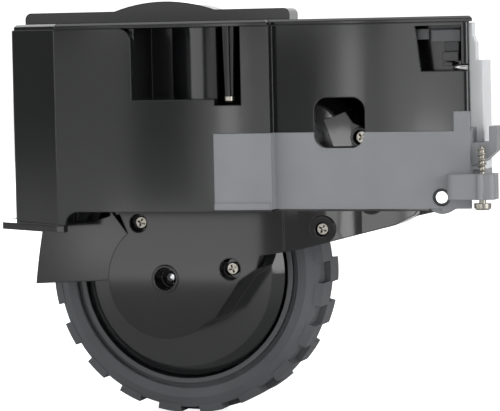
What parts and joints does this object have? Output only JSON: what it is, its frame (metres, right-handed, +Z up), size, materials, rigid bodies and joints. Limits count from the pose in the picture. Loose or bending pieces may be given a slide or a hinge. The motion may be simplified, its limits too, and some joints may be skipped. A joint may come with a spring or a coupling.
{
  "type": "robot_vacuum_wheel_module",
  "caption": "Sprung drive wheel module of a robot vacuum: housing, pivot bracket, swing arm with motor and gear train, and a wheel with a blocked tyre.",
  "frame": {"origin": "on the captive screw's axis, at the top face of the lug that holds it", "axes": "+X along the module away from the wheel, +Y from the gear side to the wheel side, +Z up along the captive screw"},
  "size_m": [0.1369, 0.0461, 0.1065],
  "materials": {
    "case_black": "moulded, fine grain",
    "cover_black": "smooth moulded",
    "bracket_grey": "moulded, satin",
    "white_nylon": "moulded, natural white",
    "steel": "turned",
    "zinc_steel": "zinc plated",
    "spring_steel": "drawn wire",
    "motor_steel": "drawn can",
    "brass": "machined",
    "gear_white": "moulded acetal",
    "switch_black": "moulded",
    "rim_grey": "moulded, satin",
    "tyre_rubber": "matt rubber",
    "cap_black": "moulded"
  },
  "bodies": {
    "housing": {"housing_shell": "case_black", "top_cover": "case_black", "post_tip": "zinc_steel", "pivot_bracket": "bracket_grey", "pivot_bushes": "case_black", "pivot_pin": "steel", "captive_screw": "zinc_steel", "torsion_spring": "spring_steel", "connector_body": "white_nylon", "connector_contacts": "brass", "switch_body": "switch_black"},
    "arm": {"gear_case": "case_black", "gear_cover": "cover_black", "cover_screws": "zinc_steel", "wheel_guard": "case_black", "motor_can": "motor_steel", "motor_end_cap": "switch_black", "motor_terminals": "brass", "gear_pins": "steel", "bearing_outer": "steel"},
    "wheel": {"wheel_axle": "steel", "final_gear": "gear_white", "bearing_inner": "steel", "wheel_rim": "rim_grey", "hub_cap": "cap_black", "tyre": "tyre_rubber"},
    "motor_rotor": {"motor_shaft": "steel", "motor_pinion": "brass"},
    "first_gear_body": {"first_gear": "gear_white"},
    "second_gear_body": {"second_gear": "gear_white"},
    "lever": {"switch_lever": "white_nylon"}
  },
  "joints": [
    {"name": "arm_swing", "type": "hinge", "parent": "housing", "child": "arm", "pos_m": [-0.0102, 0.014, -0.0058], "axis": [0, 1, 0], "range_deg": [0, 17], "stiffness_Nm_per_rad": 0.35, "springref_deg": -28.65, "deforming": ["torsion_spring"]},
    {"name": "wheel_spin", "type": "hinge", "parent": "arm", "child": "wheel", "pos_m": [-0.0826, 0.026, -0.0265], "axis": [0, 1, 0], "continuous": true},
    {"name": "second_gear_spin", "type": "hinge", "parent": "arm", "child": "second_gear_body", "pos_m": [-0.06841, 0.015, -0.01241], "axis": [0, 1, 0], "continuous": true},
    {"name": "first_gear_spin", "type": "hinge", "parent": "arm", "child": "first_gear_body", "pos_m": [-0.05954, 0.009, -0.0036], "axis": [0, 1, 0], "continuous": true},
    {"name": "motor_spin", "type": "hinge", "parent": "arm", "child": "motor_rotor", "pos_m": [-0.04783, 0.02, 0.00803], "axis": [0, 1, 0], "continuous": true},
    {"name": "switch_press", "type": "hinge", "parent": "housing", "child": "lever", "pos_m": [-0.0154, 0.0066, 0.0339], "axis": [0, 1, 0], "range_deg": [0, 12], "stiffness_Nm_per_rad": 0.01, "springref_deg": -5.73}
  ],
  "couplings": [
    {"joint": "second_gear_spin", "follows": "wheel_spin", "ratio": -4},
    {"joint": "first_gear_spin", "follows": "wheel_spin", "ratio": 10.286},
    {"joint": "motor_spin", "follows": "wheel_spin", "ratio": -46.286}
  ]
}
